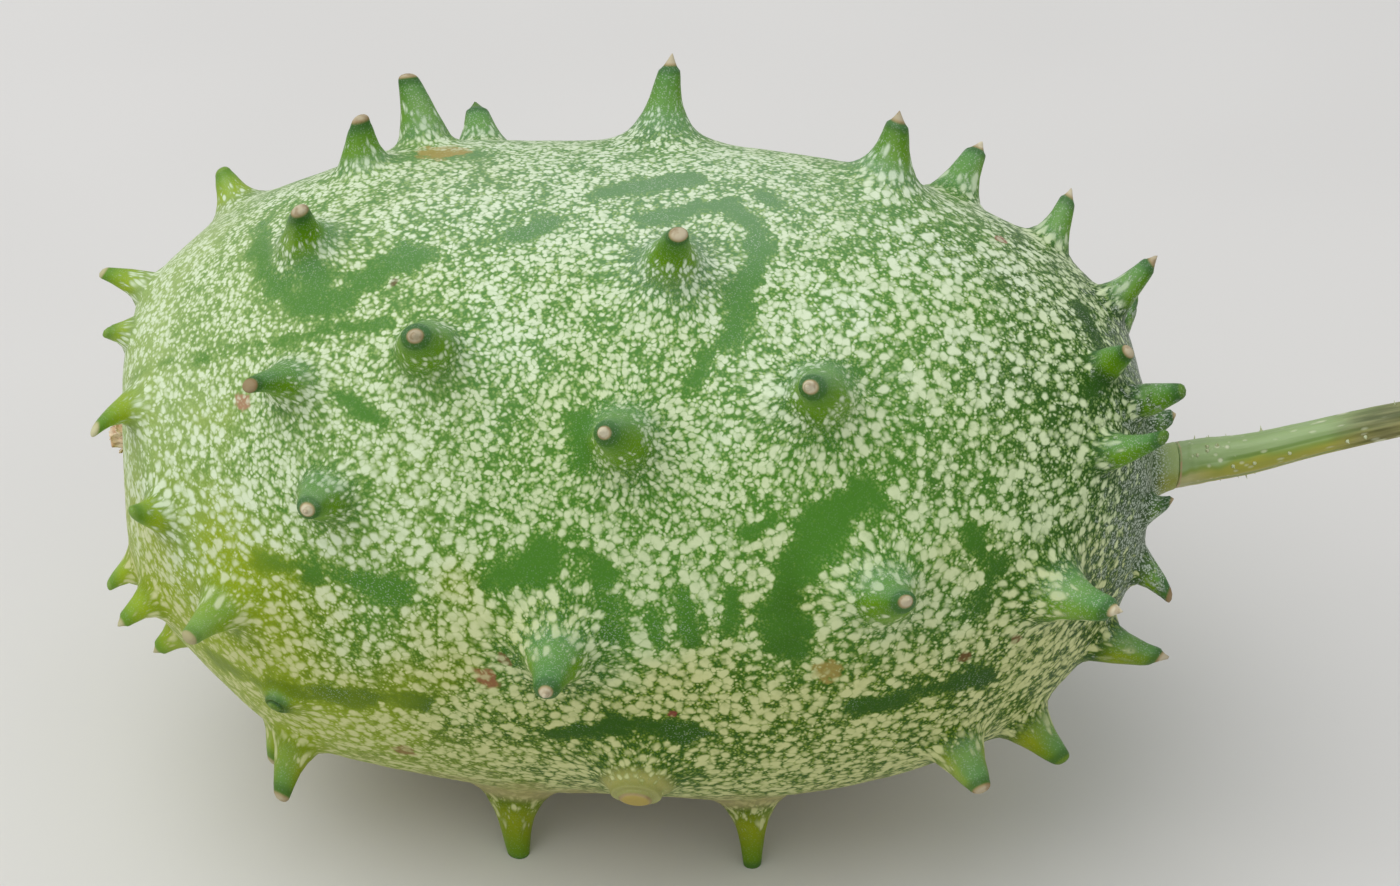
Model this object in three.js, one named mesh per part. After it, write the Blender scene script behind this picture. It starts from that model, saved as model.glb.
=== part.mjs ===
// Horned melon (kiwano): one fruit with soft horns all over, its cut stalk and its dried flower.
// Millimetres, +Z up. The fruit lies along X with the stalk at +X, and rests on four of its horns.
// A place on the skin is given as two numbers: along, the millimetres from the widest ring towards
// the stalk, and round, the degrees from the top, down over the front (-Y), to the bottom at 180.
import * as THREE from 'three';
import { ConvexHull } from 'three/addons/math/ConvexHull.js';

// The body: half a superellipse at each end, whose power is 2 on a plain ellipse and more on a fuller one
const BODY_RADIUS = 39;
const STEM_HALF = { length: 57.5, power: 2.3 };
const FLOWER_HALF = { length: 61.5, power: 2.6 };

// Both ends curl up a little, from this far out, by this much at the full reach
const STEM_CURL = { from: 28, over: 30, rise: 3.6 };
const FLOWER_CURL = { from: 25, over: 35, rise: 3.4 };

// The skin swells towards each horn and is never quite even
const SWELL = { height: 0.9, reach: 5.5 };
const WAVE_HEIGHT = 0.35;

// The lowest the horns reach below the axis: the four that touch are pressed flat there
const FLOOR_DROP = 42.5;

// Horns: thickness halfway up, the widest foot, and the share of a gap that each foot may take
const HORN_RADIUS = 1.55;
const WIDEST_FOOT = 8;
const FOOT_SHARE = 0.44;
const HORN_SIDES = 7;
const SHARP = 0.1;
const BLUNT = 0.9;
const WORN = 1.2;
const LEAN_CURVE = 1.7;

// One row for each horn of the front, top and ends, placed by eye:
// along, round, height, lean towards the stalk, lean round the fruit, tip, thickness
const FRONT_HORNS = [
  [-51, -39, 5.6, 0.5, -1, BLUNT, 1],
  [-28, -26, 8.9, -1.1, 0.3, BLUNT, 1.05],
  [-23, -43, 6.5, -0.5, -1.3, SHARP, 1],
  [-33.5, -12, 5.3, 1.8, 1.1, BLUNT, 1],
  [-0.5, -29, 9.8, 1, 0, SHARP, 1.05],
  [25.5, -16, 7.8, -1, 1.1, SHARP, 1],
  [33.5, -40, 8.4, 0.7, -0.7, SHARP, 0.95],
  [44.5, -33, 6.4, -1.6, -0.1, SHARP, 0.78],
  [51.5, -21, 7.4, -1.4, 0, SHARP, 0.85],
  [53, -45, 3.5, -2.2, -0.7, BLUNT, 0.9],
  [50, 22, 5.7, -2.2, 2.5, BLUNT, 0.85],
  [53.5, 28, 6.6, -2.3, 1.2, BLUNT, 0.9],
  [56.3, 24, 3, -1, -0.4, SHARP, 0.7],
  [51, 47, 8.4, 0.2, -2.3, BLUNT, 0.8],
  [56.6, 82, 3, -0.6, -2.2, SHARP, 0.6],
  [56, 122, 4.8, -2.4, 0.8, BLUNT, 0.8],
  [52.5, 134, 8.8, 3.1, -0.2, SHARP, 0.9],
  [46.5, 82, 10.6, 1.1, -2, SHARP, 1.1],
  [44.5, 138, 7.3, 0.9, -0.1, BLUNT, 1],
  [37, 121, 7.1, 0.3, -1.3, BLUNT, 1.1],
  [28, 74, 10, 0.2, -3.3, SHARP, 1.05],
  [20.5, 41, 10.2, -3.3, 2.1, SHARP, 1.15],
  [3.5, 20, 9.3, 1.2, 2.6, BLUNT, 1.1],
  [0, 50, 11.2, -1.6, 0.2, SHARP, 1.15],
  [-6.5, 85, 10.6, -0.3, -0.8, SHARP, 1.15],
  [1.5, 117, 3.4, 0.2, -1.8, WORN, 1.7],
  [-38.5, 131, 6.6, 1.6, 0.6, BLUNT, 0.85],
  [-42, 147, 4.9, 1.2, 1.9, BLUNT, 0.75],
  [-44, 89, 8, 1.8, -1.5, BLUNT, 0.85],
  [-54.5, 109, 5.3, 0.1, 1.4, SHARP, 0.65],
  [-58.5, 128, 4, 1.2, 0.9, BLUNT, 0.65],
  [-52, 75, 4.7, 2.6, -2.3, BLUNT, 0.8],
  [-56, 49, 5.4, 1.9, 3.9, BLUNT, 0.75],
  [-58.5, 20, 3, 0.3, 1.3, BLUNT, 0.68],
  [-58, -2, 5.9, -1.5, 0.4, BLUNT, 0.78],
  [-36, 43, 9.8, -0.3, 2.7, BLUNT, 0.78],
  [-31.5, 61.5, 9.3, 2.3, 0.3, SHARP, 0.95],
  [-21.5, 37, 10.2, 1, 2.1, SHARP, 1.2],
  [-37, 14.5, 5.8, 3, 1.7, BLUNT, 0.98],
  [-38.5, 110, 2.2, 0.1, -1.7, BLUNT, 0.8],
  [-54.5, 151, 5, 0.2, -0.2, SHARP, 0.7],
];

// The four horns that the fruit rests on, long enough to be pressed flat
const RESTING_HORNS = [
  [-15, 153, 9.9, 1.6, 1.1, BLUNT, 1.1],
  [13, 153, 10, -0.5, 1.2, BLUNT, 0.95],
  [-17, 207, 9.9, -0.3, -1, BLUNT, 1.2],
  [15, 207, 9.9, 0.4, -1, BLUNT, 1.2],
];

// Worn stubs underneath, short enough to clear the surface
const UNDER_HORNS = [
  [-33, 180, 2.9, 0, 0, WORN, 1.3],
  [-1, 180, 2.7, 0, 0, WORN, 1.3],
  [31, 179, 3, 0, 0, WORN, 1.2],
];

// The far side and the ends that face away carry staggered rows, each horn nudged at random
const FAR_ROWS = { first: 233, step: 24, count: 3, reach: 34, spacing: 17, height: 9 };
const FAR_ENDS = { alongs: [-51, 47], rounds: [190, 221, 253, 286], height: 7 };
const NUDGE = { along: 3.2, round: 4.5, height: 1, lean: 1.4, thickness: 0.12 };
const NUDGE_SEED = 11;

// The neck that the stalk leaves, and the seat of the dried flower: [radius, height] from outside in
const NECK_RINGS = [[5, 0], [4.2, 0.35], [3.55, 0.9], [3.1, 1.7], [2.88, 2.6], [2.78, 3.5]];
const NECK_RISE = 0.9;
const SEAT_RINGS = [[4.2, 0], [3.4, 0.15], [2.7, 0.5], [2.4, 0.6]];

// Points wrapped between the horns, and how far they and every other foot keep from a foot
const SKIN_POINTS = 1500;
const FOOT_CLEARANCE = 1.15;

// The stalk: the points that its middle passes, in the plane y = 0, with the radius at each.
// It has five ridges, and ends in a cut a little wider than the stem behind it.
const JOINT_GAP = 0.3;
const STALK_POINTS = [[64.5, 5.2], [69, 6.3], [76.7, 9.1], [85.4, 12.1], [93, 14.1], [98.5, 15]];
const STALK_RADII = [2.75, 2.6, 2.4, 2.15, 1.95, 1.85, 2.1];
const STALK_RIDGES = 5;
const STALK_GROOVE = 0.12;
const STALK_STEPS = 14;

// The dried flower: a low ragged button of withered petals
const FLOWER_BUTTON = { radius: 2.1, length: 2.4, petals: 6, steps: 3 };

const UP = new THREE.Vector3(0, 0, 1);
const STEMWARD = new THREE.Vector3(1, 0, 0);
const FLOWERWARD = new THREE.Vector3(-1, 0, -0.035).normalize();

function seededRandom(seed) {
  let state = seed;
  return () => {
    state = (state * 16807) % 2147483647;
    return state / 2147483647;
  };
}

function curl(x) {
  const bend = x < 0 ? FLOWER_CURL : STEM_CURL;
  const out = Math.max(0, (Math.abs(x) - bend.from) / bend.over);
  return bend.rise * out * out;
}

function halfAt(x) {
  return x < 0 ? FLOWER_HALF : STEM_HALF;
}

// The body's even surface, met by a line from its middle in the given direction
function coreReach(direction) {
  const { length, power } = halfAt(direction.x);
  const across = Math.hypot(direction.y, direction.z) / BODY_RADIUS;
  return ((Math.abs(direction.x) / length) ** power + across ** power) ** (-1 / power);
}

function skinDirection(along, round) {
  const { length, power } = halfAt(along);
  const radius = BODY_RADIUS * (1 - (Math.abs(along) / length) ** power) ** (1 / power);
  const turn = THREE.MathUtils.degToRad(round);
  return new THREE.Vector3(along, -radius * Math.sin(turn), radius * Math.cos(turn)).normalize();
}

function wave({ x, y, z }) {
  return Math.sin(5 * x + 2 * z + 0.7) * Math.cos(3 * y - 4 * z) + 0.6 * Math.sin(4 * y + 3 * x - 1);
}

function skinPoint(direction, hornDirections) {
  const reach = coreReach(direction);
  let rise = WAVE_HEIGHT * wave(direction);
  for (const horn of hornDirections) {
    const apart = reach * Math.sqrt(Math.max(0, 2 - 2 * direction.dot(horn)));
    rise += SWELL.height * Math.exp(-0.5 * (apart / SWELL.reach) ** 2);
  }
  const point = direction.clone().multiplyScalar(reach + rise - SWELL.height);
  point.z += curl(point.x);
  return point;
}

function asHorn([along, round, height, leanStemward, leanRound, tip, thickness]) {
  return { along, round, height, leanStemward, leanRound, tip, radius: HORN_RADIUS * thickness };
}

function nudgedHorn(along, round, height, random) {
  const nudge = (size) => size * (2 * random() - 1);
  const place = [along + nudge(NUDGE.along), round + nudge(NUDGE.round), height + nudge(NUDGE.height)];
  const lean = [nudge(NUDGE.lean), nudge(NUDGE.lean)];
  const tip = random() < 0.5 ? SHARP : BLUNT;
  return asHorn([...place, ...lean, tip, 1 + nudge(NUDGE.thickness)]);
}

function farHorns() {
  const random = seededRandom(NUDGE_SEED);
  const horns = [];
  const { first, step, count, reach, spacing, height } = FAR_ROWS;
  for (let row = 0; row < count; row += 1) {
    const start = -reach + ((row % 2) * spacing) / 2;
    for (let along = start; along <= reach; along += spacing) {
      horns.push(nudgedHorn(along, first + row * step, height, random));
    }
  }
  for (const along of FAR_ENDS.alongs) {
    for (const round of FAR_ENDS.rounds) horns.push(nudgedHorn(along, round, FAR_ENDS.height, random));
  }
  return horns;
}

// Everything that stands on the skin, as rings of points: a ring is [radius, height], foot to tip
function hornRings(foot, { radius, height, tip }) {
  const bluntness = Math.min(tip, 1);
  const shoulder = THREE.MathUtils.lerp(0.4, 0.68, bluntness) * Math.max(tip, 1);
  const shoulderHeight = THREE.MathUtils.lerp(0.9, 0.95, bluntness);
  return [
    [foot, 0],
    [0.66 * foot + 0.25 * radius, 0.03 * height],
    [0.36 * foot + 0.7 * radius, 0.1 * height],
    [0.14 * foot + 1.1 * radius, 0.23 * height],
    [0.02 * foot + 1.1 * radius, 0.44 * height],
    [0.86 * Math.max(tip, 1) * radius, 0.72 * height],
    [shoulder * radius, shoulderHeight * height],
    [0, height],
  ];
}

// A foot shares the gap to the nearest horn, and stays off the neck and the seat
function footRadius(direction, hornDirections, fixedSites) {
  const gapTo = (other) => coreReach(direction) * direction.angleTo(other);
  const hornGaps = hornDirections.filter((other) => other !== direction).map(gapTo);
  const fixedGaps = fixedSites.map((site) => gapTo(site.direction) - FOOT_CLEARANCE * site.rings[0][0]);
  return Math.min(WIDEST_FOOT, FOOT_SHARE * Math.min(...hornGaps), ...fixedGaps);
}

function tangents(direction) {
  const reference = Math.abs(direction.x) > 0.999 ? UP : STEMWARD;
  const first = reference.clone().addScaledVector(direction, -reference.dot(direction)).normalize();
  return [first, first.clone().cross(direction)];
}

function turned(direction, towards, distance) {
  const angle = distance / coreReach(direction);
  return direction.clone().multiplyScalar(Math.cos(angle)).addScaledVector(towards, Math.sin(angle));
}

// Unit vectors across a site, evenly round it, the odd rings turned by half a step
function ringDirections(site, shifted) {
  const [stemward, roundward] = tangents(site.direction);
  return Array.from({ length: HORN_SIDES }, (_, side) => {
    const angle = ((side + (shifted ? 0.5 : 0)) / HORN_SIDES) * 2 * Math.PI;
    return stemward.clone().multiplyScalar(Math.cos(angle)).addScaledVector(roundward, Math.sin(angle));
  });
}

// One horn, neck or seat: its rings laid on the skin and raised along its own curving axis
function raiseSite(site, hornDirections) {
  const [stemward, roundward] = tangents(site.direction);
  const on = (towards, distance) => skinPoint(turned(site.direction, towards, distance), hornDirections);
  const slopeStemward = on(stemward, 1).sub(on(stemward, -1));
  const slopeRoundward = on(roundward, 1).sub(on(roundward, -1));
  const normal = slopeRoundward.cross(slopeStemward).normalize();
  const tall = site.rings.at(-1)[1];
  const rings = site.rings.map(([radius, height], ringIndex) => {
    const bend = (height / tall) ** LEAN_CURVE;
    const offset = normal.clone().multiplyScalar(height);
    offset.addScaledVector(stemward, bend * site.leanStemward);
    offset.addScaledVector(roundward, bend * site.leanRound);
    if (radius === 0) return [on(stemward, 0).add(offset)];
    return ringDirections(site, ringIndex % 2 === 1).map((towards) => on(towards, radius).add(offset));
  });
  const top = new THREE.Vector3();
  rings.at(-1).forEach((point) => top.addScaledVector(point, 1 / rings.at(-1).length));
  return { rings, top, normal };
}

function spreadDirections(count) {
  const golden = Math.PI * (3 - Math.sqrt(5));
  return Array.from({ length: count }, (_, index) => {
    const x = 1 - (2 * index + 1) / count;
    const across = Math.sqrt(1 - x * x);
    return new THREE.Vector3(x, across * Math.cos(golden * index), across * Math.sin(golden * index));
  });
}

// Triangles between two rings whose points are half a step apart, seen anticlockwise from outside
function ringTriangles(outer, inner, innerShifted) {
  const triangles = [];
  for (let side = 0; side < outer.length; side += 1) {
    const next = (side + 1) % outer.length;
    if (inner.length === 1) triangles.push([outer[next], outer[side], inner[0]]);
    else if (innerShifted) {
      triangles.push([outer[next], outer[side], inner[side]], [inner[next], outer[next], inner[side]]);
    } else {
      triangles.push([outer[next], outer[side], inner[next]], [inner[next], outer[side], inner[side]]);
    }
  }
  return triangles;
}

function fruitSites() {
  const horns = [...FRONT_HORNS, ...RESTING_HORNS, ...UNDER_HORNS].map(asHorn).concat(farHorns());
  const hornDirections = horns.map((horn) => skinDirection(horn.along, horn.round));
  const neck = { direction: STEMWARD, rings: NECK_RINGS, leanStemward: NECK_RISE, leanRound: 0 };
  const seat = { direction: FLOWERWARD, rings: SEAT_RINGS, leanStemward: 0, leanRound: 0 };
  const hornSites = horns.map((horn, index) => {
    const foot = footRadius(hornDirections[index], hornDirections, [neck, seat]);
    return { ...horn, direction: hornDirections[index], rings: hornRings(foot, horn) };
  });
  return { hornSites, hornDirections, neck, seat };
}

function footAngle(site) {
  return site.rings[0][0] / coreReach(site.direction);
}

// The skin is wrapped over the foot and middle of everything that stands on it and over the points
// between. The triangles that reach a middle are then left out, and the site's rings close the hole.
function wrapTriangles(sites, feet, skin) {
  const cornerOf = new Map();
  sites.forEach((site, index) => {
    ringDirections(site, false).forEach((towards, side) => {
      cornerOf.set(turned(site.direction, towards, site.rings[0][0]), feet[index][side]);
    });
    cornerOf.set(site.direction, null);
  });
  skin.forEach(({ direction, corner }) => cornerOf.set(direction, corner));
  const hull = new ConvexHull().setFromPoints([...cornerOf.keys()]);
  const triangles = hull.faces.map(({ edge }) => {
    return [edge.tail(), edge.head(), edge.next.head()].map((end) => cornerOf.get(end.point));
  });
  return triangles.filter((triangle) => !triangle.includes(null));
}

function fruitGeometry({ hornSites, hornDirections, neck, seat }) {
  const sites = [...hornSites, neck, seat];
  const positions = [];
  const addCorner = (point) => {
    positions.push(point.x, point.y, Math.max(point.z, -FLOOR_DROP));
    return positions.length / 3 - 1;
  };
  const raised = sites.map((site) => {
    return raiseSite(site, hornDirections).rings.map((ring) => ring.map(addCorner));
  });
  const clear = (direction) => sites.every((site) => {
    return direction.angleTo(site.direction) > FOOT_CLEARANCE * footAngle(site);
  });
  const skin = spreadDirections(SKIN_POINTS).filter(clear).map((direction) => {
    return { direction, corner: addCorner(skinPoint(direction, hornDirections)) };
  });
  const triangles = wrapTriangles(sites, raised.map((rings) => rings[0]), skin);
  raised.forEach((rings) => {
    for (let ring = 1; ring < rings.length; ring += 1) {
      triangles.push(...ringTriangles(rings[ring - 1], rings[ring], ring % 2 === 1));
    }
    const last = rings.at(-1);
    for (let side = 2; side < last.length; side += 1) triangles.push([last[side], last[side - 1], last[0]]);
  });
  const geometry = new THREE.BufferGeometry();
  geometry.setAttribute('position', new THREE.Float32BufferAttribute(positions, 3));
  geometry.setIndex(triangles.flat());
  return geometry;
}

function stepped(values, share) {
  const at = share * (values.length - 1);
  const before = Math.min(Math.floor(at), values.length - 2);
  return THREE.MathUtils.lerp(values[before], values[before + 1], at - before);
}

// A cylinder bent along the stalk's middle, with a groove between each two ridges
function stalkGeometry({ top, normal }) {
  const start = top.clone().addScaledVector(normal, JOINT_GAP);
  const middle = new THREE.CatmullRomCurve3([
    start,
    ...STALK_POINTS.map(([x, z]) => new THREE.Vector3(x, start.y, z)),
  ]);
  const geometry = new THREE.CylinderGeometry(1, 1, 1, 2 * STALK_RIDGES, STALK_STEPS);
  const position = geometry.attributes.position;
  for (let index = 0; index < position.count; index += 1) {
    const [acrossX, acrossZ] = [position.getX(index), position.getZ(index)];
    const share = THREE.MathUtils.clamp(position.getY(index) + 0.5, 0, 1);
    const forward = share === 0 ? normal : middle.getTangent(share);
    const upward = new THREE.Vector3(0, 1, 0).cross(forward).normalize();
    const sideways = forward.clone().cross(upward);
    const groove = STALK_GROOVE * (1 - Math.cos(STALK_RIDGES * Math.atan2(acrossZ, acrossX))) / 2;
    const radius = stepped(STALK_RADII, share) * (1 - groove);
    const point = middle.getPoint(share).addScaledVector(sideways, radius * acrossX);
    point.addScaledVector(upward, radius * acrossZ);
    position.setXYZ(index, point.x, point.y, point.z);
  }
  return geometry;
}

// A cylinder drawn in to a ragged end, pointing away from the stalk
function flowerGeometry({ top, normal }) {
  const { radius, length, petals, steps } = FLOWER_BUTTON;
  const geometry = new THREE.CylinderGeometry(1, 1, 1, 2 * petals, steps);
  const position = geometry.attributes.position;
  const upward = new THREE.Vector3(0, 1, 0).cross(normal).normalize();
  const sideways = normal.clone().cross(upward);
  for (let index = 0; index < position.count; index += 1) {
    const [acrossX, acrossZ] = [position.getX(index), position.getZ(index)];
    const share = position.getY(index) + 0.5;
    const turn = Math.atan2(acrossZ, acrossX);
    const width = radius * (1 - 0.45 * share * share) * (1 + 0.2 * share * Math.cos(petals * turn));
    const outward = JOINT_GAP + length * share * (1 + 0.15 * share * Math.cos(2 * turn + 1));
    const point = top.clone().addScaledVector(normal, outward);
    point.addScaledVector(sideways, width * acrossX).addScaledVector(upward, width * acrossZ);
    position.setXYZ(index, point.x, point.y, point.z);
  }
  return geometry;
}

function piece(name, geometry, colour, roughness) {
  const material = new THREE.MeshStandardMaterial({ color: colour, roughness, metalness: 0 });
  const mesh = new THREE.Mesh(geometry, material);
  mesh.name = name;
  return mesh;
}

const fruit = fruitSites();
const melon = new THREE.Group();
melon.add(piece('fruit', fruitGeometry(fruit), 0x5f9a4e, 0.5));
melon.add(piece('stalk', stalkGeometry(raiseSite(fruit.neck, fruit.hornDirections)), 0x8fa558, 0.6));
melon.add(piece('dried_flower', flowerGeometry(raiseSite(fruit.seat, fruit.hornDirections)), 0xb59b74, 0.9));

// The origin is under the middle of the whole part, on the surface that it rests on
const box = new THREE.Box3().setFromObject(melon);
melon.position.set(-(box.min.x + box.max.x) / 2, -(box.min.y + box.max.y) / 2, FLOOR_DROP);

export default melon;
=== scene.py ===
import math
import random
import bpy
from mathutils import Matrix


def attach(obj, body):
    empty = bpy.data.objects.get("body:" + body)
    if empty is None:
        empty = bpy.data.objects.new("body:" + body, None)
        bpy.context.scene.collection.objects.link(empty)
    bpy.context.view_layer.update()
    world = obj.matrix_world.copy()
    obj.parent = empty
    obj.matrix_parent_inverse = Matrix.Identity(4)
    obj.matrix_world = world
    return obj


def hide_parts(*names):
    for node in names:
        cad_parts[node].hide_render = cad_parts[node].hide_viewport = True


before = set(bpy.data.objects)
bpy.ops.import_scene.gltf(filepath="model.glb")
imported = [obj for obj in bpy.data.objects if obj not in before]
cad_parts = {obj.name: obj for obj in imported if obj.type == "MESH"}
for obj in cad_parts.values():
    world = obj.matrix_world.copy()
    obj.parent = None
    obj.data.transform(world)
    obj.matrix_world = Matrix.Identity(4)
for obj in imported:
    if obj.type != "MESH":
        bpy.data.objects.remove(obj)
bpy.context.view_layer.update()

from types import SimpleNamespace

import bmesh
import bpy
import numpy as np
from mathutils import Matrix, Vector, noise

# Lengths in the dictionaries are millimetres unless a name says metres.
# The fruit lies along X with its stalk at +X, and its axis runs 42.5 mm above the floor.
mm = 0.001
sharp, blunt, worn = 0.1, 0.9, 1.2

body = {
    "radius": 39.0,
    "stemHalf": {"length": 57.5, "power": 2.3},
    "flowerHalf": {"length": 61.5, "power": 2.6},
    "stemCurl": {"from": 28.0, "over": 30.0, "rise": 3.6},
    "flowerCurl": {"from": 25.0, "over": 35.0, "rise": 3.4},
    "swellHeight": 0.9,
    "swellReach": 5.5,
    "waveHeight": 0.35,
    "floorDrop": 42.5,
}

# Each row: along, round, height, lean towards the stalk, lean round the fruit, tip, thickness
horns = {
    "radius": 1.55,
    "widestFoot": 8.0,
    "footShare": 0.44,
    "footClearance": 1.15,
    "leanCurve": 1.7,
    "front": [
        (-51, -39, 5.6, 0.5, -1, blunt, 1),
        (-28, -26, 8.9, -1.1, 0.3, blunt, 1.05),
        (-23, -43, 6.5, -0.5, -1.3, sharp, 1),
        (-33.5, -12, 5.3, 1.8, 1.1, blunt, 1),
        (-0.5, -29, 9.8, 1, 0, sharp, 1.05),
        (25.5, -16, 7.8, -1, 1.1, sharp, 1),
        (33.5, -40, 8.4, 0.7, -0.7, sharp, 0.95),
        (44.5, -33, 6.4, -1.6, -0.1, sharp, 0.78),
        (51.5, -21, 7.4, -1.4, 0, sharp, 0.85),
        (53, -45, 3.5, -2.2, -0.7, blunt, 0.9),
        (50, 22, 5.7, -2.2, 2.5, blunt, 0.85),
        (53.5, 28, 6.6, -2.3, 1.2, blunt, 0.9),
        (56.3, 24, 3, -1, -0.4, sharp, 0.7),
        (51, 47, 8.4, 0.2, -2.3, blunt, 0.8),
        (56.6, 82, 3, -0.6, -2.2, sharp, 0.6),
        (56, 122, 4.8, -2.4, 0.8, blunt, 0.8),
        (52.5, 134, 8.8, 3.1, -0.2, sharp, 0.9),
        (46.5, 82, 10.6, 1.1, -2, sharp, 1.1),
        (44.5, 138, 7.3, 0.9, -0.1, blunt, 1),
        (37, 121, 7.1, 0.3, -1.3, blunt, 1.1),
        (28, 74, 10, 0.2, -3.3, sharp, 1.05),
        (20.5, 41, 10.2, -3.3, 2.1, sharp, 1.15),
        (3.5, 20, 9.3, 1.2, 2.6, blunt, 1.1),
        (0, 50, 11.2, -1.6, 0.2, sharp, 1.15),
        (-6.5, 85, 10.6, -0.3, -0.8, sharp, 1.15),
        (1.5, 117, 3.4, 0.2, -1.8, worn, 1.7),
        (-38.5, 131, 6.6, 1.6, 0.6, blunt, 0.85),
        (-42, 147, 4.9, 1.2, 1.9, blunt, 0.75),
        (-44, 89, 8, 1.8, -1.5, blunt, 0.85),
        (-54.5, 109, 5.3, 0.1, 1.4, sharp, 0.65),
        (-58.5, 128, 4, 1.2, 0.9, blunt, 0.65),
        (-52, 75, 4.7, 2.6, -2.3, blunt, 0.8),
        (-56, 49, 5.4, 1.9, 3.9, blunt, 0.75),
        (-58.5, 20, 3, 0.3, 1.3, blunt, 0.68),
        (-58, -2, 5.9, -1.5, 0.4, blunt, 0.78),
        (-36, 43, 9.8, -0.3, 2.7, blunt, 0.78),
        (-31.5, 61.5, 9.3, 2.3, 0.3, sharp, 0.95),
        (-21.5, 37, 10.2, 1, 2.1, sharp, 1.2),
        (-37, 14.5, 5.8, 3, 1.7, blunt, 0.98),
        (-38.5, 110, 2.2, 0.1, -1.7, blunt, 0.8),
        (-54.5, 151, 5, 0.2, -0.2, sharp, 0.7),
    ],
    "resting": [
        (-15, 153, 9.9, 1.6, 1.1, blunt, 1.1),
        (13, 153, 10, -0.5, 1.2, blunt, 0.95),
        (-17, 207, 9.9, -0.3, -1, blunt, 1.2),
        (15, 207, 9.9, 0.4, -1, blunt, 1.2),
    ],
    "under": [
        (-33, 180, 2.9, 0, 0, worn, 1.3),
        (-1, 180, 2.7, 0, 0, worn, 1.3),
        (31, 179, 3, 0, 0, worn, 1.2),
    ],
    "farRows": {"first": 233, "step": 24, "count": 3, "reach": 34, "spacing": 17, "height": 9},
    "farEnds": {"alongs": (-51, 47), "rounds": (190, 221, 253, 286), "height": 7},
    "nudge": {"along": 3.2, "round": 4.5, "height": 1, "lean": 1.4, "thickness": 0.12},
    "nudgeSeed": 11,
    "capLength": {sharp: 1.6, blunt: 0.65, worn: 0.5},
    "greenTips": (0, 2, 9, 11, 13, 18, 30, 31, 33, 39),
    "brownTips": (15, 28, 35),
    # how far out of a foot, from 0 at the tip to 1 at its edge, each ring of the horn takes
    "ringShares": (1, 0.8, 0.62, 0.47, 0.34, 0.22, 0.13, 0.075, 0.035, 0),
}

neck = {
    "rings": [(5, 0), (4.2, 0.35), (3.55, 0.9), (3.1, 1.7), (2.88, 2.6), (2.78, 3.5), (0, 3.5)],
    "shares": (1, 0.85, 0.66, 0.48, 0.32, 0.18, 0),
    "rise": 0.9,
}
seat = {
    "rings": [(4.2, 0), (3.4, 0.15), (2.7, 0.5), (2.4, 0.6), (0, 0.6)],
    "shares": (1, 0.8, 0.6, 0.42, 0),
}


# the camera, aimed from the fruit's middle: degrees, and millimetres for the distance and the aim
view = {
    "azimuth": 5.0,
    "elevation": 35.0,
    "distance": 388.73,
    "lens": 85.0,
    "aimRight": 5.47,
    "aimUp": 3.18,
}


def addCamera():
    turn, tilt = math.radians(view["azimuth"]), math.radians(view["elevation"])
    back = Vector((math.sin(turn) * math.cos(tilt), -math.cos(turn) * math.cos(tilt), math.sin(tilt)))
    right = Vector((math.cos(turn), math.sin(turn), 0))
    upward = back.cross(right)
    aim = fruitOrigin + (right * view["aimRight"] + upward * view["aimUp"]) * mm
    data = bpy.data.cameras.new("viewCamera")
    data.lens = view["lens"]
    data.sensor_width = 36
    data.clip_start = 0.01
    camera = bpy.data.objects.new("viewCamera", data)
    bpy.context.scene.collection.objects.link(camera)
    turnMatrix = Matrix((right, upward, back)).transposed().to_4x4()
    camera.matrix_world = Matrix.Translation(aim + back * view["distance"] * mm) @ turnMatrix
    bpy.context.scene.camera = camera


# the body's shape, worked out for many directions at once
def unit(vectors):
    return vectors / np.linalg.norm(vectors, axis=-1, keepdims=True)


def halfSize(x, key):
    return np.where(x < 0, body["flowerHalf"][key], body["stemHalf"][key])


def coreReach(directions):
    x = directions[..., 0]
    length, power = halfSize(x, "length"), halfSize(x, "power")
    across = np.hypot(directions[..., 1], directions[..., 2]) / body["radius"]
    return ((np.abs(x) / length) ** power + across**power) ** (-1 / power)


def skinDirection(along, around):
    half = body["flowerHalf"] if along < 0 else body["stemHalf"]
    radius = body["radius"] * (1 - (abs(along) / half["length"]) ** half["power"]) ** (1 / half["power"])
    turn = math.radians(around)
    return unit(np.array((along, -radius * math.sin(turn), radius * math.cos(turn))))


def curlLift(x):
    lift = 0
    for side, bend in ((-1, body["flowerCurl"]), (1, body["stemCurl"])):
        out = np.maximum(0, (side * x - bend["from"]) / bend["over"])
        lift = lift + bend["rise"] * out * out
    return lift


def skinWave(directions):
    x, y, z = np.moveaxis(directions, -1, 0)
    return np.sin(5 * x + 2 * z + 0.7) * np.cos(3 * y - 4 * z) + 0.6 * np.sin(4 * y + 3 * x - 1)


def skinPoint(directions):
    reach = coreReach(directions)
    apart = reach[..., None] * np.sqrt(np.maximum(0, 2 - 2 * directions @ hornDirections.T))
    swell = np.exp(-0.5 * (apart / body["swellReach"]) ** 2).sum(axis=-1) - 1
    rise = body["waveHeight"] * skinWave(directions) + body["swellHeight"] * swell
    points = directions * (reach + rise)[..., None]
    points[..., 2] += curlLift(points[..., 0])
    return points


def seededShares(seed):
    state = seed
    while True:
        state = state * 16807 % 2147483647
        yield state / 2147483647


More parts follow.
